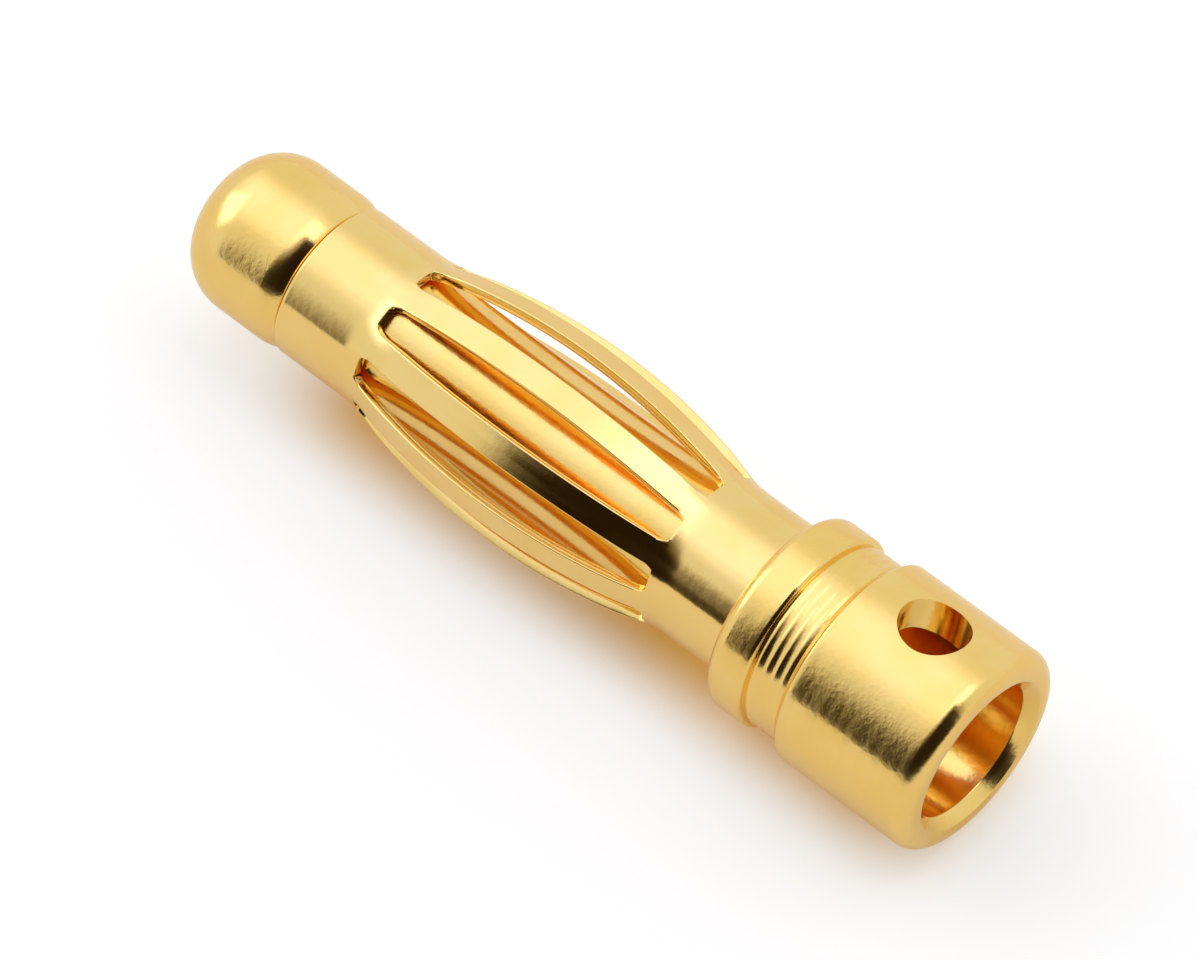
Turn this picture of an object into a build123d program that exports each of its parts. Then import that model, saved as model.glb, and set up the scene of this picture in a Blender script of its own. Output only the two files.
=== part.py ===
from build123d import *
import math
import os

# A gold-plated bullet plug for a battery lead, lying on its side.
# X runs along the plug from the nose to the wire mouth, Z points up, and z = 0 is the surface it lies on.
# Lengths are in millimetres and angles in degrees.

# Wire cup, which is soldered to the lead
cup_d = 4.5
cup_length = 3.35
cup_front_chamfer = 0.16
cup_wall = 0.75
wire_bore_depth = 4.3
drill_point_angle = 118.0
rim_round = 0.36
mouth_chamfer = 0.23

# Vent through one wall of the cup, where the solder shows
vent_d = 1.45
vent_from_rim = 1.7
vent_turn = 15.0

# Groove and collar in front of the cup
groove_depth = 0.2
groove_width = 0.82
collar_step = 0.11
collar_length = 0.95
collar_front_round = 0.3
collar_rear_round = 0.1

# Nose, which leads the plug into its socket, eased at its heel where the cage begins
nose_lip = 0.05
nose_length = 2.78
nose_round = 1.2
heel_run = 0.5
heel_drop = 0.15

# Contact cage: one slotted sheet, rolled round the core, with its strips bowed outwards
sheet = 0.2
band_d = 3.34
front_band_length = 2.05
rear_band_length = 1.85
slot_length = 7.45
slot_corner = 0.14
strip_count = 9
strip_width = 0.58
strip_crown_radius = 12.0
cage_d = 4.44
cage_turn = -5.0
root_bend_radius = 2.1
seam_gap = 0.15

# Fit of the cage on the core: all round, and end to end as the strips lengthen under load
core_clearance = 0.02
cage_play = 0.1

# Largest share of a step, or of half a slot, that a round or chamfer may take
largest_break = 0.92

# Diameters that follow from the cup and the cage
wire_bore_d = cup_d - 2 * cup_wall
groove_d = cup_d - 2 * groove_depth
collar_d = groove_d + 2 * collar_step
core_d = band_d - 2 * sheet - 2 * core_clearance
nose_d = band_d + 2 * nose_lip

# Stations along the plug, from the nose to the rim
cage_length = front_band_length + slot_length + rear_band_length
core_length = cage_length + cage_play
overall_length = nose_length + core_length + collar_length + groove_width + cup_length
nose_tip_x = -overall_length / 2
nose_heel_x = nose_tip_x + nose_length
collar_x = nose_heel_x + core_length
groove_x = collar_x + collar_length
cup_x = groove_x + groove_width
rim_x = cup_x + cup_length
cage_front_x = nose_heel_x + cage_play / 2
slot_start_x = cage_front_x + front_band_length
bow_x = slot_start_x + slot_length / 2

# Turns of the strips round the plug, from straight up towards +Y
strip_turns = [cage_turn + place * 360 / strip_count for place in range(strip_count)]
half_pitch = 180 / strip_count


def reach_down(turn):
    """How far below the axis the outer corners of a strip at this turn reach."""
    off_down = math.radians(180 - turn)
    return cage_d / 2 * math.cos(off_down) + strip_width / 2 * abs(math.sin(off_down))


# The plug lies on its cup, or on its lowest strip where that reaches further down
axis_z = max(cup_d / 2, max(reach_down(turn) for turn in strip_turns))
plug_axis = Axis((0, 0, axis_z), (1, 0, 0))

# Half sections are drawn with x along the plug and y as the distance from its axis
half_section = Plane(origin=(0, 0, axis_z), x_dir=(1, 0, 0), z_dir=(0, -1, 0))

os.makedirs("parts", exist_ok=True)


def same(a, b):
    """Whether two lengths are the same size."""
    return math.isclose(a, b, abs_tol=1e-4)


def around_plug(turn):
    """Direction away from the plug's axis, turned from straight up towards +Y."""
    return Vector(0, math.sin(math.radians(turn)), math.cos(math.radians(turn)))


def turned_edges(body, x, diameter):
    """The circular edges of a turned body at one station and one diameter."""
    circles = body.edges().filter_by(GeomType.CIRCLE)
    return circles.filter_by(lambda edge: same(edge.arc_center.X, x) and same(2 * edge.radius, diameter))


# Pin body: nose, core, collar, groove and wire cup, turned from one bar
drill_point_length = wire_bore_d / 2 / math.tan(math.radians(drill_point_angle / 2))
heel_r = nose_d / 2 - min(heel_drop, largest_break * (nose_d - core_d) / 2)

with BuildPart() as pin_body:
    with BuildSketch(half_section):
        with BuildLine():
            Polyline(
                (nose_heel_x, heel_r),
                (nose_heel_x, core_d / 2),
                (collar_x, core_d / 2),
                (collar_x, collar_d / 2),
                (groove_x, collar_d / 2),
                (groove_x, groove_d / 2),
                (cup_x, groove_d / 2),
                (cup_x, cup_d / 2),
                (rim_x, cup_d / 2),
                (rim_x, wire_bore_d / 2),
                (rim_x - wire_bore_depth, wire_bore_d / 2),
                (rim_x - wire_bore_depth - drill_point_length, 0),
                (nose_tip_x, 0),
                (nose_tip_x, nose_d / 2),
                (nose_heel_x - heel_run, nose_d / 2),
            )
            TangentArc((nose_heel_x - heel_run, nose_d / 2), (nose_heel_x, heel_r), tangent=(1, 0))
        make_face()
    revolve(axis=plug_axis)

    # Edges as they leave the lathe: a full round on the nose, smaller rounds and breaks elsewhere
    fillet(turned_edges(pin_body, nose_tip_x, nose_d), nose_round)
    fillet(turned_edges(pin_body, collar_x, collar_d), collar_front_round)
    fillet(turned_edges(pin_body, groove_x, collar_d), min(collar_rear_round, largest_break * collar_step))
    chamfer(turned_edges(pin_body, cup_x, cup_d), min(cup_front_chamfer, largest_break * groove_depth))
    fillet(turned_edges(pin_body, rim_x, cup_d), rim_round)
    chamfer(turned_edges(pin_body, rim_x, wire_bore_d), mouth_chamfer)

    # The vent is drilled from the axis outwards, through one wall
    vent_x = rim_x - vent_from_rim
    with BuildSketch(Plane(origin=(vent_x, 0, axis_z), x_dir=(1, 0, 0), z_dir=around_plug(vent_turn))):
        Circle(vent_d / 2)
    extrude(amount=cup_d, mode=Mode.SUBTRACT)

pin_body.part.label = "pin_body"
export_step(pin_body.part, "parts/pin_body.step")


# Slots of the cage, in a frame with x along the middle of the first slot, away from the axis
band_r = band_d / 2
core_r = core_d / 2


def slot_half_width(radius):
    """Half the width of a slot at a distance from the axis, between strips with parallel sides."""
    turn = math.radians(half_pitch)
    return (radius * math.sin(turn) - strip_width / 2) / math.cos(turn)


slot_corner_r = min(slot_corner, largest_break * slot_half_width(core_r))
first_slot = Plane(origin=(slot_start_x, 0, axis_z), x_dir=around_plug(half_pitch), z_dir=(1, 0, 0))

with BuildPart() as slot_tool:
    with BuildSketch(first_slot):
        Polygon(
            (core_r, -slot_half_width(core_r)),
            (band_d, -slot_half_width(band_d)),
            (band_d, slot_half_width(band_d)),
            (core_r, slot_half_width(core_r)),
            align=None,
        )
    extrude(amount=slot_length)
    for end in (0, -1):
        end_edges = slot_tool.edges().group_by(Axis.X)[end]
        across_slot = end_edges.sort_by(Axis(first_slot.origin, first_slot.y_dir))
        fillet((across_slot[0], across_slot[-1]), slot_corner_r)


# Bow of a strip: a bend at each end and one long arch between them, all tangent
bow_half = slot_length / 2 - slot_corner_r
bow_rise = cage_d / 2 - band_r
bow_angle = 2 * math.degrees(math.atan(bow_rise / bow_half))
arch_radius = bow_half / math.sin(math.radians(bow_angle)) - root_bend_radius

with BuildLine(half_section):
    front_bend = JernArc((bow_x - bow_half, band_r - sheet / 2), (1, 0), root_bend_radius, bow_angle)
    arch = JernArc(front_bend @ 1, front_bend % 1, arch_radius, -2 * bow_angle)
    rear_bend = JernArc(arch @ 1, arch % 1, root_bend_radius, bow_angle)


def across_bow(curve, share):
    """Plane across the bow at a share of one of its arcs, with y pointing away from the axis."""
    return Plane(origin=curve @ share, x_dir=(0, 1, 0), z_dir=curve % share)


def crown_drop(radius):
    """How far a face of this radius falls from the middle of a strip to its edges."""
    return radius - math.sqrt(radius**2 - (strip_width / 2) ** 2)


def strip_section(plane, outer_radius, inner_radius):
    """Section across a strip, with its faces crowned to these radii."""
    side = strip_width / 2
    top = sheet / 2
    outer_edge_y = top - crown_drop(outer_radius)
    inner_edge_y = -top - crown_drop(inner_radius)
    with BuildSketch(plane) as section:
        with BuildLine():
            ThreePointArc((-side, outer_edge_y), (0, top), (side, outer_edge_y))
            Line((side, outer_edge_y), (side, inner_edge_y))
            ThreePointArc((side, inner_edge_y), (0, -top), (-side, inner_edge_y))
            Line((-side, inner_edge_y), (-side, outer_edge_y))
        make_face()
    return section.sketch


# A strip is round like the band at its roots, and all but flat along its arch
arch_stations = 9

with BuildPart() as strip:
    add(strip_section(across_bow(front_bend, 0), band_r, band_r - sheet))
    for station in range(arch_stations):
        share = station / (arch_stations - 1)
        add(strip_section(across_bow(arch, share), strip_crown_radius, strip_crown_radius))
    add(strip_section(across_bow(rear_bend, 1), band_r, band_r - sheet))
    loft()

# Contact cage: two bands joined by the bowed strips, with a seam where the sheet's ends meet
with BuildPart() as contact_cage:
    for ring_x, ring_length in ((cage_front_x, front_band_length), (bow_x + bow_half, rear_band_length)):
        with BuildSketch(Plane.YZ.offset(ring_x)):
            with Locations((0, axis_z)):
                Circle(band_r)
                Circle(band_r - sheet, mode=Mode.SUBTRACT)
        extrude(amount=ring_length + slot_corner_r)
    for turn in strip_turns:
        add(slot_tool.part.rotate(plug_axis, -turn), mode=Mode.SUBTRACT)
    for turn in strip_turns:
        add(strip.part.rotate(plug_axis, -turn))

    # The seam is in line with a slot, behind and underneath
    seam_turn = cage_turn + 180 - 2 * half_pitch
    seam_x = cage_front_x + cage_length / 2
    with BuildSketch(Plane(origin=(seam_x, 0, axis_z), x_dir=(1, 0, 0), z_dir=around_plug(seam_turn))):
        Rectangle(cage_length, seam_gap)
    extrude(amount=cage_d, mode=Mode.SUBTRACT)

contact_cage.part.label = "contact_cage"
export_step(contact_cage.part, "parts/contact_cage.step")
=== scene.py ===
# %% [markdown]
# # A gold bullet plug for a battery lead
#
# The plug is 19 mm long and comes apart into two pieces: a pin turned from brass bar, and a spring cage
# rolled from slotted sheet. Both are gold plated. The solids loaded here are exact in size, but polished
# metal seen this close shows every facet. So both pieces are modelled again with fine, even faces, in the
# same place and at the same size.

# %% Load the solids
import math

import bpy
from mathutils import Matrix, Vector


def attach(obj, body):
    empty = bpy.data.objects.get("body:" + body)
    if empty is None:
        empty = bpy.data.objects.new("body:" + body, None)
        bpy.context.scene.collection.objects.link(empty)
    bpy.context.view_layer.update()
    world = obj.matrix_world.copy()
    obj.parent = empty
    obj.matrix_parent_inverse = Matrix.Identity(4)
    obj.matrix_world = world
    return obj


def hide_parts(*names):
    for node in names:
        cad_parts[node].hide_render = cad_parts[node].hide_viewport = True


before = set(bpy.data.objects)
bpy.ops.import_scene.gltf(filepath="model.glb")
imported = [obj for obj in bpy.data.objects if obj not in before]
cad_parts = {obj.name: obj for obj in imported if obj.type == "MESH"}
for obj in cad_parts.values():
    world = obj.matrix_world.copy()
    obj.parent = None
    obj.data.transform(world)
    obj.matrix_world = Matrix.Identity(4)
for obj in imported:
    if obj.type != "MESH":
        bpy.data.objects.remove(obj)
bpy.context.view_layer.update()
print("solids:", sorted(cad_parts))

# %% [markdown]
# ## Camera
#
# The plug is seen from high up, over the open end of its wire cup, and its axis runs down across the
# picture. A wide lens close by would swell the cup and shrink the nose. From a hand's length away the two
# keep nearly their true sizes, and the lens is worked out from the width of the picture at the plug.

# %% Place the camera
mm = 0.001
camera_azimuth = math.radians(41.5)
camera_elevation = math.radians(56)
camera_distance = 200 * mm
picture_width = 23.0 * mm
picture_middle = Vector((0.1, 0, 2.2)) * mm

towards_camera = Vector((
    math.sin(camera_azimuth) * math.cos(camera_elevation),
    -math.cos(camera_azimuth) * math.cos(camera_elevation),
    math.sin(camera_elevation),
))
bpy.ops.object.camera_add(location=picture_middle + camera_distance * towards_camera)
camera = bpy.context.active_object
camera.rotation_euler = towards_camera.to_track_quat("Z", "Y").to_euler()
camera.data.sensor_width = 36
camera.data.lens = camera.data.sensor_width * camera_distance / picture_width
camera.data.clip_start = 0.01
camera.data.clip_end = 10
bpy.context.scene.camera = camera
bpy.context.scene.view_settings.view_transform = "Standard"
print("lens in mm:", round(camera.data.lens))

# %% [markdown]
# ## Studio
#
# Polished gold has hardly any colour of its own to show: it shows the room. The room here is a white tent
# over a sheet of white paper. A lamp with hard edges would show as a hard white patch on every round part,
# so the light comes from the tent itself: its roof glows over the plug, and the glow fades out softly to
# all sides. Two panels in the roof are brighter, one towards the nose and one towards the cup. The world
# is painted by direction, so a fade from one direction to another is all that each edge needs.

# %% Pitch the tent
def add_node(tree, kind, **settings):
    """Add a node to a tree and give it its settings."""
    node = tree.nodes.new(kind)
    for name, value in settings.items():
        setattr(node, name, value)
    return node


def fade(tree, value, start, stop, first=0.0, last=1.0):
    """A smooth change from one level to another while a value goes from start to stop."""
    node = add_node(tree, "ShaderNodeMapRange", interpolation_type="SMOOTHSTEP")
    tree.links.new(value, node.inputs["Value"])
    node.inputs["From Min"].default_value = start
    node.inputs["From Max"].default_value = stop
    node.inputs["To Min"].default_value = first
    node.inputs["To Max"].default_value = last
    return node.outputs["Result"]


def times(tree, first, *others):
    """The product of some values."""
    for other in others:
        node = add_node(tree, "ShaderNodeMath", operation="MULTIPLY")
        tree.links.new(first, node.inputs[0])
        tree.links.new(other, node.inputs[1])
        first = node.outputs[0]
    return first


def between(tree, value, start, stop, blur):
    """1 while a value is between two others and 0 outside them, with soft sides."""
    after_start = fade(tree, value, start - blur / 2, start + blur / 2)
    before_stop = fade(tree, value, stop - blur / 2, stop + blur / 2, 1.0, 0.0)
    return times(tree, after_start, before_stop)


def measure(tree, vector, direction):
    """How far a vector goes in a direction."""
    node = add_node(tree, "ShaderNodeVectorMath", operation="DOT_PRODUCT")
    node.inputs[1].default_value = direction
    tree.links.new(vector, node.inputs[0])
    return node.outputs["Value"]


tent = bpy.data.worlds.new("white_tent")
tent.use_nodes = True
bpy.context.scene.world = tent
sky = tent.node_tree
ray = add_node(sky, "ShaderNodeTexCoord").outputs["Generated"]
ray_x = measure(sky, ray, (1, 0, 0))
ray_y = measure(sky, ray, (0, 1, 0))
ray_z = measure(sky, ray, (0, 0, 1))
print("tent nodes:", len(sky.nodes))

# %% Light the roof
roof_foot = 0.2
roof_full = 0.4


def glowing(sides_x, sides_y, blur):
    """Where a part of the roof glows, between two sides each way, as shares of a ray's length."""
    above = fade(sky, ray_z, roof_foot, roof_full)
    return times(sky, above, between(sky, ray_x, *sides_x, blur), between(sky, ray_y, *sides_y, blur))


roof = glowing((-0.90, 0.50), (-0.42, 0.50), blur=0.44)
nose_panel = glowing((-1.10, -0.58), (-0.55, 0.05), blur=0.16)
cup_panel = glowing((-0.14, 0.45), (-0.50, 0.40), blur=0.20)
print("tent nodes with the roof:", len(sky.nodes))

# %% [markdown]
# The tent is open at the front, where the dark room behind the camera draws a dark stripe along every
# round part. The opening could be a black card, but a card would stand in the way of a camera on the other
# side, so it is painted into the world too. Its edge is amber, because a room with lamps in it is warmer
# than daylight, and that warmth spills onto the cloth next to the opening.

# %% Cut the opening
opening_azimuth = math.radians(36)
opening_half_width = 60
opening_side_blur = 3.5
opening_low = 0.7
opening_low_blur = 1
opening_top = 0.90
opening_top_blur = 0.26
opening_top_slope = 0.8


def sin_deg(angle):
    """Height of a direction this many degrees above the horizon."""
    return math.sin(math.radians(angle))


def cos_deg(angle):
    """How near a direction this many degrees aside is to straight ahead."""
    return math.cos(math.radians(angle))


level_ray = add_node(sky, "ShaderNodeVectorMath", operation="MULTIPLY")
level_ray.inputs[1].default_value = (1, 1, 0)
sky.links.new(ray, level_ray.inputs[0])
compass = add_node(sky, "ShaderNodeVectorMath", operation="NORMALIZE")
sky.links.new(level_ray.outputs[0], compass.inputs[0])
ahead = measure(sky, compass.outputs[0], (math.sin(opening_azimuth), -math.cos(opening_azimuth), 0))
past_side = cos_deg(opening_half_width + opening_side_blur)
inside_side = cos_deg(opening_half_width - opening_side_blur)
between_sides = fade(sky, ahead, past_side, inside_side)
below_sill = sin_deg(opening_low - opening_low_blur)
over_sill = sin_deg(opening_low + opening_low_blur)
above_sill = fade(sky, ray_z, below_sill, over_sill)
sloped_height = measure(sky, ray, (-opening_top_slope, 0, 1))
top_start = opening_top - opening_top_blur
top_stop = opening_top + opening_top_blur
below_top = fade(sky, sloped_height, top_start, top_stop, 1.0, 0.0)
opening = times(sky, between_sides, above_sill, below_top)
print("opening spans", 2 * opening_half_width, "degrees")


# %% Colour the tent
def blend(tree, factor, first, second):
    """A colour between two others, each a colour or the output of a node."""
    node = add_node(tree, "ShaderNodeMix", data_type="RGBA")
    tree.links.new(factor, node.inputs["Factor"])
    for socket, colour in ((node.inputs["A"], first), (node.inputs["B"], second)):
        if isinstance(colour, tuple):
            socket.default_value = colour
        else:
            tree.links.new(colour, socket)
    return node.outputs["Result"]


wall_white = (0.84, 0.835, 0.82, 1)
roof_white = (1.26, 1.26, 1.45, 1)
panel_white = (1.9, 1.9, 2.2, 1)
amber_edge = (0.50, 0.33, 0.10, 1)
dark_room = (0.018, 0.010, 0.004, 1)
lit_tent = blend(sky, roof, wall_white, roof_white)
for panel in (nose_panel, cup_panel):
    lit_tent = blend(sky, panel, lit_tent, panel_white)
edged_tent = blend(sky, opening, lit_tent, amber_edge)
sky.links.new(blend(sky, opening, edged_tent, dark_room), sky.nodes["Background"].inputs["Color"])
print("tent nodes in all:", len(sky.nodes))

# %% [markdown]
# The floor is white paper on a light table. Light from below makes shadows faint, and a lamp under a real
# sheet does what a little glow of its own does here. Only the camera and mirror-like surfaces see that
# glow, so it adds no light to the room, and the gold sees it weaker and warmer than the camera does. Close
# to the plug a shadow is painted on the paper: a soft patch as long and as wide as the plug, darker and
# warm in both its colour and its glow. It is painted shade, with painted warm light as if thrown back from
# the gold.

# %% Lay the floor
floor_width = 3.0
floor_drop = 0.002 * mm
bpy.ops.mesh.primitive_plane_add(size=floor_width, location=(0, 0, -floor_drop))
floor = bpy.context.active_object
floor.name = "paper_floor"
paper = bpy.data.materials.new("white_paper")
paper.use_nodes = True
paper_tree = paper.node_tree
paper_shader = paper_tree.nodes["Principled BSDF"]
paper_shader.inputs["Roughness"].default_value = 0.9
paper_shader.inputs["Specular IOR Level"].default_value = 0.1
floor.data.materials.append(paper)
print("floor width in m:", floor_width)

# %% Shade the paper round the plug
# Painted shadow: a soft patch under the plug gets a warm paper colour, for the shade there and the warm
# light from the gold.
shade_ends = (-6.5, 9.0)
shade_end_blur = 3.0
shade_sides = (-1.7, 1.7)
shade_side_blur = 2.0
painted_shade_paper = (0.66, 0.51, 0.31, 1)
white_paper = (0.56, 0.56, 0.55, 1)

on_paper = add_node(paper_tree, "ShaderNodeTexCoord").outputs["Object"]
along_plug = measure(paper_tree, on_paper, (1 / mm, 0, 0))
across_plug = measure(paper_tree, on_paper, (0, 1 / mm, 0))
painted_shade_mask = times(
    paper_tree,
    between(paper_tree, along_plug, *shade_ends, shade_end_blur),
    between(paper_tree, across_plug, *shade_sides, shade_side_blur),
)
paper_colour = blend(paper_tree, painted_shade_mask, white_paper, painted_shade_paper)
paper_tree.links.new(paper_colour, paper_shader.inputs["Base Color"])
print("shade runs in mm from", shade_ends[0], "to", shade_ends[1])

# %% Let the paper glow
# Under the plug the glow is weaker and warm: painted shade and painted warm light from the gold.
painted_shade_glow = (0.28, 0.15, 0.02, 1)
white_glow = (0.56, 0.56, 0.54, 1)
mirror_glow = (0.36, 0.30, 0.21, 1)

ray_kind = add_node(paper_tree, "ShaderNodeLightPath")
open_glow = blend(paper_tree, ray_kind.outputs["Is Glossy Ray"], white_glow, mirror_glow)
glow = blend(paper_tree, painted_shade_mask, open_glow, painted_shade_glow)
paper_tree.links.new(glow, paper_shader.inputs["Emission Color"])
seen = add_node(paper_tree, "ShaderNodeMath", operation="MAXIMUM")
paper_tree.links.new(ray_kind.outputs["Is Camera Ray"], seen.inputs[0])
paper_tree.links.new(ray_kind.outputs["Is Glossy Ray"], seen.inputs[1])
paper_tree.links.new(seen.outputs[0], paper_shader.inputs["Emission Strength"])
print("paper nodes:", len(paper_tree.nodes))

# %% [markdown]
# Inside the wire cup light goes from wall to wall five or six times before it comes out, and each time the
# gold takes some blue and green out of it. Cycles stops after four mirror bounces unless it is told
# otherwise, which would leave the cup dark instead of deep orange.

# %% Let light bounce in the cup
cup_bounces = 12
bpy.context.scene.cycles.max_bounces = cup_bounces
bpy.context.scene.cycles.glossy_bounces = cup_bounces
print("mirror bounces:", bpy.context.scene.cycles.glossy_bounces)

# %% [markdown]
# ## Turned pin
#
# The pin is cut on a lathe: a nose, a slim core, a collar, a groove and a wire cup, all round one axis.
# Scaling and joining cylinders would leave seams between them. Drawing half its section and spinning it
# round the axis is what the lathe does, so every face is even and every round is true. Sizes are in
# millimetres.

# %% Measure the pin
axis_z = 2.25
nose_tip_x = -9.675
nose_heel_x = -6.895
collar_x = 4.555
groove_x = 5.505
cup_x = 6.325
rim_x = 9.675
bore_end_x = 5.375
drill_point_x = 4.4737
nose_r = 1.72
heel_r = 1.57
core_r = 1.45
collar_r = 2.16
groove_r = 2.05
cup_r = 2.25
bore_r = 1.5


def on_section(x, r):
    """A place in the upright half section, from millimetres along and out from the axis."""
    return Vector((x, 0, axis_z + r)) * mm


print("length of the pin in mm:", rim_x - nose_tip_x)

# %% [markdown]
# Two stretches of the section aren't straight. The heel of the nose falls away on an arc, where the cage
# begins. The floor of the groove carries four fine rings, the pitch of the lathe tool, which break up its
# reflection.

# %% Curve the heel and cut the rings
heel_run = 0.5
heel_drop = nose_r - heel_r
heel_bend = (heel_run**2 + heel_drop**2) / (2 * heel_drop)
heel_steps = 12
heel_outline = []
for step in range(heel_steps + 1):
    slope = math.asin(heel_run / heel_bend) * step / heel_steps
    x = nose_heel_x - heel_run + heel_bend * math.sin(slope)
    heel_outline.append(on_section(x, nose_r - heel_bend * (1 - math.cos(slope))))

ring_count = 4
ring_pitch = 0.205
ring_depth = 0.022
valley_share = 0.02
crest_share = 0.5
ring_crests = [groove_x + (ring + crest_share) * ring_pitch for ring in range(ring_count)]
ring_outline = []
for ring, crest_x in enumerate(ring_crests):
    ring_outline.append(on_section(groove_x + (ring + valley_share) * ring_pitch, groove_r - ring_depth))
    ring_outline.append(on_section(crest_x, groove_r))
print("points on the heel and the rings:", len(heel_outline) + len(ring_outline))


# %% Draw the half section
def start_outline(name, place):
    """Add a plane and merge its corners into one vertex, from which an outline is drawn."""
    bpy.ops.object.select_all(action="DESELECT")
    bpy.ops.mesh.primitive_plane_add(size=mm)
    piece = bpy.context.active_object
    piece.name = name
    bpy.ops.object.mode_set(mode="EDIT")
    bpy.ops.mesh.select_mode(type="VERT")
    bpy.ops.mesh.select_all(action="SELECT")
    bpy.ops.mesh.merge(type="CENTER")
    bpy.ops.transform.translate(value=place)
    return piece


def draw_outline(places):
    """Extrude the selected vertex from place to place."""
    for start, stop in zip(places, places[1:]):
        bpy.ops.mesh.extrude_vertices_move(TRANSFORM_OT_translate={"value": stop - start})


pin_outline = [
    on_section(nose_tip_x, 0),
    on_section(nose_tip_x, nose_r),
    *heel_outline,
    on_section(nose_heel_x, core_r),
    on_section(collar_x, core_r),
    on_section(collar_x, collar_r),
    on_section(groove_x, collar_r),
    *ring_outline,
    on_section(cup_x, groove_r - ring_depth),
    on_section(cup_x, cup_r),
    on_section(rim_x, cup_r),
    on_section(rim_x, bore_r),
    on_section(bore_end_x, bore_r),
    on_section(drill_point_x, 0),
]
turned_pin = start_outline("turned_pin", pin_outline[0])
draw_outline(pin_outline)
bpy.ops.object.mode_set(mode="OBJECT")
print("corners drawn:", len(turned_pin.data.vertices))

# %% [markdown]
# A lathe tool leaves each corner with its own break: a full round on the nose, softer rounds on the collar
# and the rim, and plain chamfers at the front of the cup and in its mouth, where the wire goes in. Rounding
# the corners of the outline before it is spun is simpler than bevelling whole rings of edges afterwards.
# The corners of each chamfer are eased a little too, because no real edge is perfectly sharp.

# %% Round the corners
nose_round = 1.2
collar_front_round = 0.3
collar_rear_round = 0.1
cup_chamfer = 0.16
rim_round = 0.36
mouth_chamfer = 0.23
small_ease = 0.03
mouth_ease = 0.02


def pick(piece, test):
    """Go to edit mode with only those vertices selected whose place passes a test."""
    bpy.ops.object.mode_set(mode="OBJECT")
    for items in (piece.data.vertices, piece.data.edges, piece.data.polygons):
        items.foreach_set("select", [False] * len(items))
    chosen = [test(vertex.co / mm) for vertex in piece.data.vertices]
    piece.data.vertices.foreach_set("select", chosen)
    bpy.ops.object.mode_set(mode="EDIT")
    bpy.ops.mesh.select_mode(type="VERT")
    return sum(chosen)


def same(a, b, within=0.0005):
    """Whether two lengths in millimetres are the same."""
    return abs(a - b) < within


def break_corner(x, r, size, segments):
    """Round a corner of the outline, or chamfer it where there is one segment."""
    found = pick(turned_pin, lambda co: same(co.x, x) and same(co.z - axis_z, r))
    bpy.ops.mesh.bevel(offset=size * mm, segments=segments, affect="VERTICES")
    return found


# Each row has a corner's place along and out from the axis, the size of its break and its segments
corner_breaks = [
    (nose_tip_x, nose_r, nose_round, 28),
    (nose_heel_x, heel_r, small_ease, 3),
    (collar_x, collar_r, collar_front_round, 16),
    (groove_x, collar_r, collar_rear_round, 8),
    (cup_x, cup_r, cup_chamfer, 1),
    (cup_x, cup_r - cup_chamfer, small_ease, 3),
    (cup_x + cup_chamfer, cup_r, small_ease, 3),
    (rim_x, cup_r, rim_round, 18),
    (rim_x, bore_r, mouth_chamfer, 1),
    (rim_x, bore_r + mouth_chamfer, mouth_ease, 3),
    (rim_x - mouth_chamfer, bore_r, mouth_ease, 3),
    *((crest_x, groove_r, small_ease, 3) for crest_x in ring_crests),
]
broken = sum(break_corner(*corner) for corner in corner_breaks)
bpy.ops.object.mode_set(mode="OBJECT")
print("corners broken:", broken, "outline points:", len(turned_pin.data.vertices))

# %% [markdown]
# Smooth shading blends the slope of a face with its neighbours' slopes. Where one long face meets a small
# round, that would bend the reflection along its whole length. Short faces beside the rounds keep the bend
# where the round is.

# %% Divide the long runs
longest_run = 0.17
outside_r = core_r + 0.1


def long_run(edge):
    """Whether an edge of the outline lies on the outside of the pin and is too long."""
    start, stop = [turned_pin.data.vertices[index].co / mm for index in edge.vertices]
    outside = min(start.z, stop.z) - axis_z > outside_r
    bore = same(start.z - axis_z, bore_r) and same(stop.z - axis_z, bore_r)
    return outside and not bore and (stop - start).length > longest_run


while any(long_run(edge) for edge in turned_pin.data.edges):
    pick(turned_pin, lambda co: False)
    bpy.ops.mesh.select_mode(type="EDGE")
    bpy.ops.object.mode_set(mode="OBJECT")
    for edge in turned_pin.data.edges:
        edge.select = long_run(edge)
    bpy.ops.object.mode_set(mode="EDIT")
    bpy.ops.mesh.subdivide(number_cuts=1)
    bpy.ops.object.mode_set(mode="OBJECT")
print("outline points:", len(turned_pin.data.vertices))

# %% [markdown]
# Now the outline goes once round the axis. Its last copy lands on the first, and its two ends stay on the
# axis all the way, so the doubles are merged. That closes the nose and the drill point, and the normals are
# then turned outwards.

# %% Spin the section round the axis
turn_steps = 192
pin_merge = 0.0002 * mm
bpy.ops.object.mode_set(mode="EDIT")
bpy.ops.mesh.select_all(action="SELECT")
bpy.ops.mesh.spin(steps=turn_steps, angle=2 * math.pi, center=(0, 0, axis_z * mm), axis=(1, 0, 0))
bpy.ops.mesh.select_all(action="SELECT")
bpy.ops.mesh.remove_doubles(threshold=pin_merge)
bpy.ops.mesh.normals_make_consistent(inside=False)
bpy.ops.object.mode_set(mode="OBJECT")
print("faces of the pin:", len(turned_pin.data.polygons))

# %% [markdown]
# ## Vent
#
# A small hole through one wall of the cup lets air out while solder is fed in. On the bench it is drilled,
# so here a round cutter as thick as the drill is taken away from the pin. It starts on the axis, so it
# opens one wall only.

# %% Drill the vent
vent_x = 7.975
vent_r = 0.725
vent_turn = math.radians(15)
vent_reach = 3.0
drill_sides = 144
pin_crease = math.radians(28)

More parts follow.
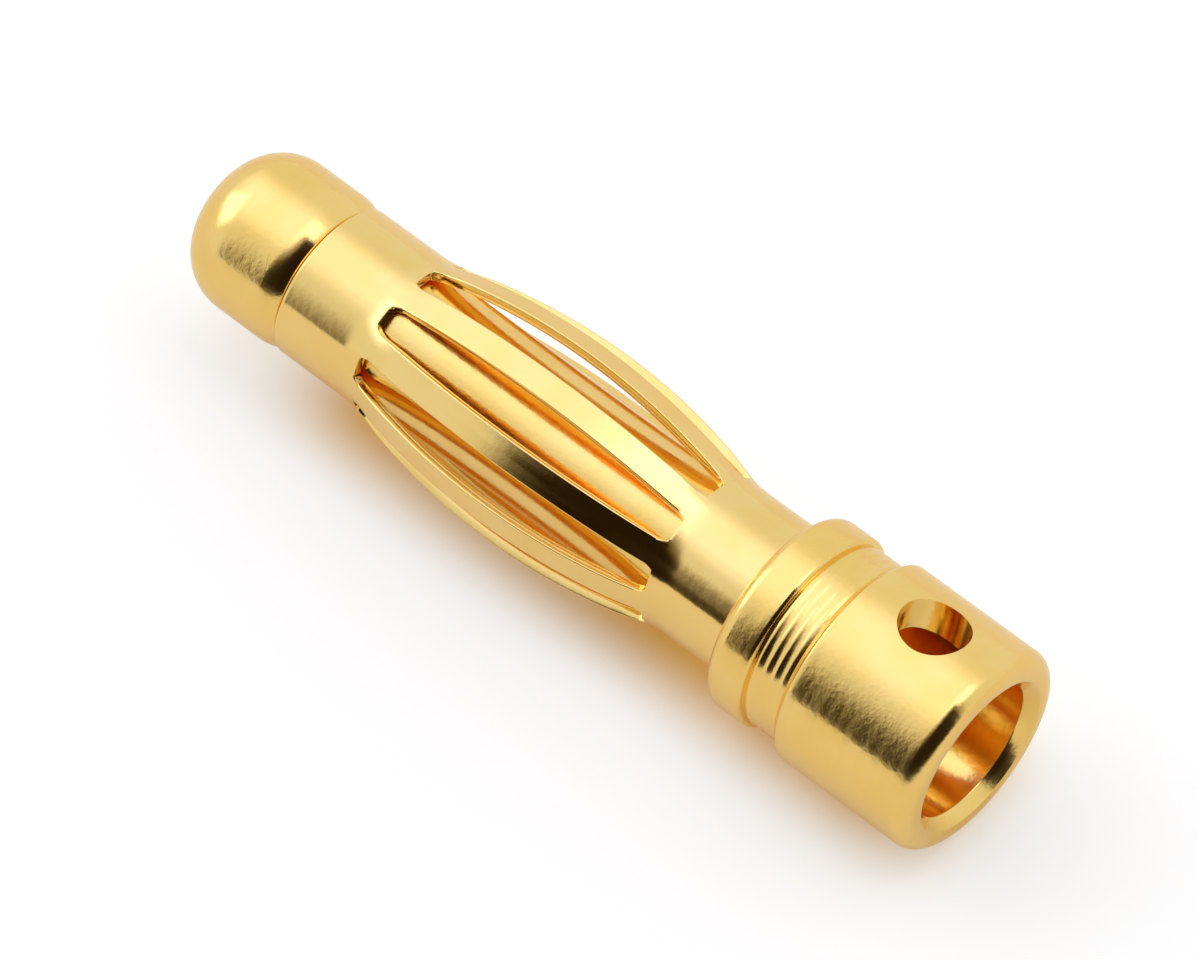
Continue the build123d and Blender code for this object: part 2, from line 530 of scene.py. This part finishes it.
vent_direction = Vector((0, math.sin(vent_turn), math.cos(vent_turn)))
vent_middle = Vector((vent_x, 0, axis_z)) + vent_direction * vent_reach / 2
bpy.ops.object.select_all(action="DESELECT")
bpy.ops.mesh.primitive_cylinder_add(
    vertices=drill_sides,
    radius=vent_r * mm,
    depth=vent_reach * mm,
    location=vent_middle * mm,
    rotation=(-vent_turn, 0, 0),
)
drill = bpy.context.active_object
bpy.ops.object.select_all(action="DESELECT")
turned_pin.select_set(True)
bpy.context.view_layer.objects.active = turned_pin
vent_cut = turned_pin.modifiers.new("vent", "BOOLEAN")
vent_cut.operation = "DIFFERENCE"
vent_cut.solver = "EXACT"
vent_cut.object = drill
bpy.ops.object.modifier_apply(modifier=vent_cut.name)
bpy.data.objects.remove(drill)
bpy.ops.object.shade_smooth_by_angle(angle=pin_crease)
print("faces with the vent:", len(turned_pin.data.polygons))

# %% [markdown]
# ## Spring cage
#
# The cage is stamped from thin sheet, slotted, bowed and rolled round the core. All its nine strips are
# alike, and each is the same from either end, so only half of one strip with its share of the band is
# modelled. The rest comes from mirroring and turning it. Bending a finished cage would stretch its strips,
# so each strip is drawn along its bow from the start, at its true width.

# %% Roll one part of the band
cage_middle_x = -1.07
cage_front_x = -6.845
slot_start_x = -4.795
band_r = 1.67
band_cuts = 27
strip_count = 9
columns = 36
strip_pitch = 2 * math.pi / strip_count
column_turn = strip_pitch / columns
axis_point = Vector((cage_middle_x, 0, axis_z))


def around(turn, x, r):
    """A place at a turn round the axis, from straight up towards +Y, in millimetres along and out."""
    return Vector((x, r * math.sin(turn), axis_z + r * math.cos(turn))) * mm


band_outline = [around(-strip_pitch / 2, x, band_r) for x in (cage_front_x, slot_start_x)]
cage_part = start_outline("cage_part", band_outline[0])
draw_outline(band_outline)
bpy.ops.mesh.select_all(action="SELECT")
bpy.ops.mesh.subdivide(number_cuts=band_cuts)
bpy.ops.mesh.spin(steps=columns, angle=strip_pitch, center=axis_point * mm, axis=(1, 0, 0))
bpy.ops.object.mode_set(mode="OBJECT")
print("faces in one part of the band:", len(cage_part.data.polygons))

# %% [markdown]
# Each slot ends in two small rounds, where the strip grows out of the band. They keep the sheet from
# tearing there. The edge of the band is drawn out to the height of the round, and its vertices are then
# pulled back onto an arc.

# %% Grow the strip's root
slot_corner = 0.14
corner_columns = 4
strip_columns = 18
cage_merge = 0.0005 * mm
strip_half_turn = strip_columns / 2 * column_turn
root_half_turn = strip_half_turn + slot_corner / band_r
root_x = slot_start_x + slot_corner
little = 0.1 * column_turn


def turn_of(co):
    """The turn of a place round the axis, from straight up towards +Y."""
    return math.atan2(co.y, co.z - axis_z)


def at_root(co):
    """Whether a place is on the end of the band, within the strip and its two rounds."""
    return same(co.x, slot_start_x) and abs(turn_of(co)) < root_half_turn + little


pick(cage_part, at_root)
bpy.ops.mesh.extrude_region_move(TRANSFORM_OT_translate={"value": (slot_corner * mm, 0, 0)})
for column in range(1, corner_columns + 1):
    turn = strip_half_turn + column * column_turn
    from_strip = min(column * column_turn * band_r, slot_corner)
    rise = slot_corner - math.sqrt(slot_corner**2 - (slot_corner - from_strip) ** 2)
    pick(cage_part, lambda co: same(co.x, root_x) and abs(abs(turn_of(co)) - turn) < little)
    bpy.ops.transform.translate(value=((rise - slot_corner) * mm, 0, 0))
bpy.ops.mesh.select_all(action="SELECT")
bpy.ops.mesh.remove_doubles(threshold=cage_merge)
bpy.ops.object.mode_set(mode="OBJECT")
print("points in one part of the cage:", len(cage_part.data.vertices))

# %% [markdown]
# The strip leaves the band on a short bend and goes over into one long arch. Both are arcs, so the strip's
# end is spun twice: round a point above it for the bend, and then round a point below the axis for the
# arch.

# %% Bow the strip
sheet = 0.2
root_bend = 2.1
cage_r = 2.22
bow_half = cage_middle_x - root_x
bow_rise = cage_r - band_r
bow_angle = 2 * math.atan(bow_rise / bow_half)
arch_bend = bow_half / math.sin(bow_angle) - root_bend
bend_centre = Vector((root_x, 0, axis_z + band_r - sheet / 2 + root_bend))
arch_centre = Vector((cage_middle_x, 0, axis_z + cage_r - sheet / 2 - arch_bend))
bend_steps = 12
arch_steps = 30

pick(cage_part, lambda co: same(co.x, root_x) and abs(turn_of(co)) < strip_half_turn + little)
bpy.ops.mesh.spin(steps=bend_steps, angle=bow_angle, center=bend_centre * mm, axis=(0, 1, 0))
bpy.ops.mesh.spin(steps=arch_steps, angle=-bow_angle, center=arch_centre * mm, axis=(0, 1, 0))
bpy.ops.object.mode_set(mode="OBJECT")
top = max(vertex.co.z for vertex in cage_part.data.vertices)
print("bow in degrees:", round(math.degrees(bow_angle), 2), "top in mm:", round(top / mm, 4))

# %% [markdown]
# Where it leaves the band, the strip is as round across as the band is. The bow then pulls it all but flat,
# which is why each strip shows one even reflection from side to side. Its rows are flattened one after
# another, little by little over the bend and then by the same amount all along the arch.

# %% Flatten the strip across
flat_share = 0.13
row_depth = 0.004
row_height = 0.06


def flatten_row(top_of_row, slope, share):
    """Press one row of the strip down to a share of its height, square to the strip's slope."""
    along = Vector((math.cos(slope), 0, math.sin(slope)))
    out = Vector((-math.sin(slope), 0, math.cos(slope)))

    def in_row(co):
        offset = co - top_of_row
        offset.y = 0
        return abs(offset.dot(along)) < row_depth and abs(offset.dot(out)) < row_height

    found = pick(cage_part, in_row)
    bpy.ops.transform.resize(
        value=(1, 1, share),
        orient_matrix=(along, (0, 1, 0), out),
        orient_matrix_type="LOCAL",
        orient_type="LOCAL",
        center_override=top_of_row * mm,
    )
    return found


flattened = 0
bend_r = root_bend - sheet / 2
for step in range(1, bend_steps + 1):
    slope = bow_angle * step / bend_steps
    row = bend_centre + bend_r * Vector((math.sin(slope), 0, -math.cos(slope)))
    done = step / bend_steps
    flattened += flatten_row(row, slope, 1 - (1 - flat_share) * done * done * (3 - 2 * done))
arch_r = arch_bend + sheet / 2
for step in range(1, arch_steps + 1):
    slope = bow_angle * (1 - step / arch_steps)
    row = arch_centre + arch_r * Vector((-math.sin(slope), 0, math.cos(slope)))
    flattened += flatten_row(row, slope, flat_share)
bpy.ops.object.mode_set(mode="OBJECT")
print("points flattened:", flattened, "in rows of", strip_columns + 1)

# %% [markdown]
# Sheet can't bend all at once at the end of a slot: the band next to it is drawn out a little too, by a few
# hundredths of a millimetre, and the strip starts out fuller. That is little to measure, but in polished
# gold it turns the reflection of a whole part of the band. So each row is moved out from the bow as drawn
# to one that begins within the band and reaches the same height in the middle.

# %% Ease the bow into the band
ease_x = slot_start_x - 0.45
ease_bend = 2.6
ease_half = cage_middle_x - ease_x
ease_angle = 2 * math.atan(bow_rise / ease_half)
ease_arch = ease_half / math.sin(ease_angle) - ease_bend
smallest_move = 1e-5


def bow_height(x, start_x, bend, arch, angle):
    """How far the outside of a bow stands out from the band, where its first bend begins at start_x."""
    inner_bend = bend - sheet / 2
    if x <= start_x:
        return 0
    if x - start_x < inner_bend * math.sin(angle):
        return inner_bend - math.sqrt(inner_bend**2 - (x - start_x) ** 2)
    outer_arch = arch + sheet / 2
    return bow_rise - outer_arch + math.sqrt(outer_arch**2 - (cage_middle_x - x) ** 2)


def move_out(x):
    """How far a row of the sheet moves out."""
    eased = bow_height(x, ease_x, ease_bend, ease_arch, ease_angle)
    return eased - bow_height(x, root_x, root_bend, arch_bend, bow_angle)


row_places = sorted({round(vertex.co.x / mm, 3) for vertex in cage_part.data.vertices})
for row_x in row_places:
    if move_out(row_x) < smallest_move:
        continue
    pick(cage_part, lambda co: round(co.x, 3) == row_x)
    if row_x <= round(root_x, 3):
        share = 1 + move_out(row_x) / band_r
        bpy.ops.transform.resize(value=(1, share, share), center_override=axis_point * mm)
    else:
        bpy.ops.transform.translate(value=(0, 0, move_out(row_x) * mm))
bpy.ops.object.mode_set(mode="OBJECT")
print("most that the sheet moves out, in mm:", round(max(move_out(x) for x in row_places), 3))

# %% [markdown]
# Now the half strip is mirrored at the middle of the cage, where the arch is highest. The mirror works
# about the object's own origin, so the origin goes to that place first.

# %% Mirror the half strip
bpy.context.scene.cursor.location = axis_point * mm
bpy.ops.object.origin_set(type="ORIGIN_CURSOR")
mirror = cage_part.modifiers.new("other_half", "MIRROR")
mirror.use_axis = (True, False, False)
mirror.merge_threshold = 0.001 * mm
bpy.ops.object.modifier_apply(modifier=mirror.name)
print("faces in one strip with its bands:", len(cage_part.data.polygons))

# %% [markdown]
# The strips then go round the axis. The cage is pushed on by hand, so where its first strip ends up is
# chance. The band behind the strips is a little shorter than the one in front, so the end of it is cut off
# again.

# %% Set the nine strips round the axis
cage_rear_x = 4.505
cage_turn = math.radians(-5)
cage_parts = [cage_part]
for place in range(1, strip_count):
    bpy.ops.object.select_all(action="DESELECT")
    cage_part.select_set(True)
    bpy.context.view_layer.objects.active = cage_part
    bpy.ops.object.duplicate()
    cage_parts.append(bpy.context.active_object)
for place, part in enumerate(cage_parts):
    part.rotation_euler.x = place * strip_pitch - cage_turn
    part.select_set(True)
bpy.context.view_layer.objects.active = cage_part
bpy.ops.object.join()
bpy.ops.object.transform_apply(location=True, rotation=True, scale=True)
spring_cage = bpy.context.active_object
spring_cage.name = "spring_cage"
bpy.ops.object.mode_set(mode="EDIT")
bpy.ops.mesh.select_all(action="SELECT")
bpy.ops.mesh.remove_doubles(threshold=cage_merge)
bpy.ops.mesh.bisect(plane_co=(cage_rear_x * mm, 0, 0), plane_no=(1, 0, 0), clear_outer=True)
bpy.ops.mesh.select_all(action="SELECT")
bpy.ops.mesh.normals_make_consistent(inside=False)
bpy.ops.object.mode_set(mode="OBJECT")
print("faces of the cage's outside:", len(spring_cage.data.polygons))

# %% [markdown]
# The ends of the rolled sheet don't quite meet, so a fine seam runs along the cage, in line with one slot
# and out of sight underneath. A cutter would leave ragged faces there. The columns of faces are as fine as
# the seam is, so four of them come out.

# %% Open the seam
seam_columns = 4
seam_turn = cage_turn + math.pi - strip_pitch
seam_half_turn = seam_columns / 2 * column_turn
pick(spring_cage, lambda co: abs(turn_of(co) - seam_turn) < seam_half_turn + little)
bpy.ops.mesh.delete(type="ONLY_FACE")
bpy.ops.mesh.select_all(action="SELECT")
bpy.ops.mesh.delete_loose(use_verts=True, use_edges=True, use_faces=False)
bpy.ops.object.mode_set(mode="OBJECT")
print("faces left:", len(spring_cage.data.polygons))

# %% [markdown]
# So far the cage is only the outside of the sheet. It gets its thickness inwards, so its outside stays
# where it is. The press leaves stamped edges a little rounded, and eased edges catch the light as a bright
# line.

# %% Give the sheet its thickness
edge_ease = 0.026
edge_angle = math.radians(50)
cage_crease = math.radians(40)
thickness = spring_cage.modifiers.new("sheet", "SOLIDIFY")
thickness.thickness = sheet * mm
thickness.offset = -1
thickness.use_even_offset = True
bpy.ops.object.modifier_apply(modifier=thickness.name)
easing = spring_cage.modifiers.new("eased_edges", "BEVEL")
easing.width = edge_ease * mm
easing.segments = 3
easing.limit_method = "ANGLE"
easing.angle_limit = edge_angle
easing.use_clamp_overlap = False
bpy.ops.object.modifier_apply(modifier=easing.name)
bpy.ops.object.shade_smooth_by_angle(angle=cage_crease)
print("faces of the cage:", len(spring_cage.data.polygons))

# %% [markdown]
# ## Gold
#
# Gold plate is metal through and through to light: what it sends back is the room, tinted. Where gold shows
# in gold, as inside the cup and in the slots, the tint is taken again and again and goes to a deep orange,
# with no paint needed. What sets one gold part apart from another is how fine its surface is. Plating
# leaves a soft grain of its own, and under it the marks of the tool still show: rings from the lathe on the
# pin, lines from the rolling mill on the sheet. Both parts use both effects, so each is a node group that
# the two materials share.

# %% Start a group
def start_group(name, inputs, outputs):
    """Add a shader node group with named sockets, and give its tree, its entry and its exit."""
    group = bpy.data.node_groups.new(name, "ShaderNodeTree")
    for socket_name, kind in inputs.items():
        group.interface.new_socket(socket_name, in_out="INPUT", socket_type=kind)
    for socket_name, kind in outputs.items():
        group.interface.new_socket(socket_name, in_out="OUTPUT", socket_type=kind)
    entry = add_node(group, "NodeGroupInput")
    way_out = add_node(group, "NodeGroupOutput")
    return group, entry.outputs, way_out.inputs


def add_noise(tree, place, scale, detail=2.0):
    """Noise between 0 and 1, with a scale that is a number or the output of a node."""
    node = add_node(tree, "ShaderNodeTexNoise")
    node.inputs["Detail"].default_value = detail
    tree.links.new(place, node.inputs["Vector"])
    if isinstance(scale, (int, float)):
        node.inputs["Scale"].default_value = scale
    else:
        tree.links.new(scale, node.inputs["Scale"])
    return node.outputs["Fac"]


vector, number = "NodeSocketVector", "NodeSocketFloat"

# %% Grain of the plating
grain, grain_in, grain_out = start_group(
    "plating_grain", {"Place": vector, "Fineness": number}, {"Height": number, "Tone": number}
)
grain.links.new(add_noise(grain, grain_in["Place"], grain_in["Fineness"]), grain_out["Height"])
cloud = add_noise(grain, grain_in["Place"], scale=0.9, detail=4.0)
grain.links.new(fade(grain, cloud, start=0.32, stop=0.68), grain_out["Tone"])
print("grain nodes:", len(grain.nodes))

# %% Marks of the tool
marks, marks_in, marks_out = start_group(
    "tool_marks", {"Place": vector, "Stretch": vector}, {"Height": number, "Streak": number}
)
stretched = add_node(marks, "ShaderNodeVectorMath", operation="MULTIPLY")
marks.links.new(marks_in["Place"], stretched.inputs[0])
marks.links.new(marks_in["Stretch"], stretched.inputs[1])
marks.links.new(add_noise(marks, stretched.outputs[0], scale=1.0, detail=3.0), marks_out["Height"])
streak = add_noise(marks, stretched.outputs[0], scale=0.23)
marks.links.new(fade(marks, streak, start=0.36, stop=0.64), marks_out["Streak"])
print("mark nodes:", len(marks.nodes))

# %% [markdown]
# The two groups then go into one material for each piece. Places are in millimetres from the plug's axis.
# On the pin, the place along the axis and the distance from it are added up, so the rings run on round
# every corner: they follow the length of the cup, and become circles on the face of its rim. On the sheet
# the marks run along the strips.

# %% Find the place on a piece
def in_millimetres(tree):
    """The place on the object, in millimetres, with the plug's axis at zero height."""
    place = add_node(tree, "ShaderNodeTexCoord").outputs["Object"]
    node = add_node(tree, "ShaderNodeMapping", vector_type="POINT")
    node.inputs["Location"].default_value = (0, 0, -axis_z)
    node.inputs["Scale"].default_value = (1 / mm, 1 / mm, 1 / mm)
    tree.links.new(place, node.inputs["Vector"])
    return node.outputs["Vector"]


def round_axis(tree, place):
    """The place with its distance from the axis added to its place along it."""
    across = add_node(tree, "ShaderNodeVectorMath", operation="MULTIPLY")
    across.inputs[1].default_value = (0, 1, 1)
    tree.links.new(place, across.inputs[0])
    radius = add_node(tree, "ShaderNodeVectorMath", operation="LENGTH")
    tree.links.new(across.outputs[0], radius.inputs[0])
    outwards = add_node(tree, "ShaderNodeCombineXYZ")
    tree.links.new(radius.outputs["Value"], outwards.inputs["X"])
    total = add_node(tree, "ShaderNodeVectorMath", operation="ADD")
    tree.links.new(place, total.inputs[0])
    tree.links.new(outwards.outputs[0], total.inputs[1])
    return total.outputs[0]


# %% Mix a gold finish
def gold_finish(name, golds, fineness, stretch, turned, grain_height, mark_height, smooth, rough):
    """A gold material with its own grain, tool marks and range of roughness."""
    material = bpy.data.materials.new(name)
    material.use_nodes = True
    tree = material.node_tree
    shader = tree.nodes["Principled BSDF"]
    shader.inputs["Metallic"].default_value = 1
    place = in_millimetres(tree)

    plating = add_node(tree, "ShaderNodeGroup", node_tree=grain)
    plating.inputs["Fineness"].default_value = fineness
    tree.links.new(place, plating.inputs["Place"])
    tooling = add_node(tree, "ShaderNodeGroup", node_tree=marks)
    tooling.inputs["Stretch"].default_value = stretch
    tree.links.new(round_axis(tree, place) if turned else place, tooling.inputs["Place"])

    tree.links.new(blend(tree, plating.outputs["Tone"], *golds), shader.inputs["Base Color"])
    tree.links.new(fade(tree, tooling.outputs["Streak"], 0, 1, smooth, rough), shader.inputs["Roughness"])
    reliefs = ((tooling.outputs["Height"], mark_height), (plating.outputs["Height"], grain_height))
    normal = None
    for height, depth in reliefs:
        bump = add_node(tree, "ShaderNodeBump")
        bump.inputs["Strength"].default_value = 1
        bump.inputs["Distance"].default_value = depth * mm
        tree.links.new(height, bump.inputs["Height"])
        if normal is not None:
            tree.links.new(normal, bump.inputs["Normal"])
        normal = bump.outputs["Normal"]
    tree.links.new(normal, shader.inputs["Normal"])
    return material


# %% [markdown]
# The pin comes from the lathe with a slightly duller skin, and its grain is strong enough to break up the
# edge of the dark stripe. The sheet was rolled bright before it was stamped, so it is smoother and a little
# paler.

# %% Plate the pin and the cage
turned_gold = gold_finish(
    "turned_gold",
    golds=((0.96, 0.70, 0.245, 1), (0.945, 0.665, 0.20, 1)),
    fineness=9.0,
    stretch=(16, 0.3, 0.3),
    turned=True,
    grain_height=0.0026,
    mark_height=0.0005,
    smooth=0.15,
    rough=0.20,
)
sheet_gold = gold_finish(
    "sheet_gold",
    golds=((0.96, 0.715, 0.275, 1), (0.945, 0.68, 0.23, 1)),
    fineness=6.0,
    stretch=(0.35, 13, 13),
    turned=False,
    grain_height=0.0012,
    mark_height=0.0006,
    smooth=0.11,
    rough=0.17,
)
turned_pin.data.materials.append(turned_gold)
spring_cage.data.materials.append(sheet_gold)
print("gold finishes:", turned_gold.name, sheet_gold.name)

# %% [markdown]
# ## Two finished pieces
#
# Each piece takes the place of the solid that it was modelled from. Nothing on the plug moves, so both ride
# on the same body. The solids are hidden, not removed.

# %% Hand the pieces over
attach(turned_pin, "root")
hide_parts("pin_body")
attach(spring_cage, "root")
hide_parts("contact_cage")
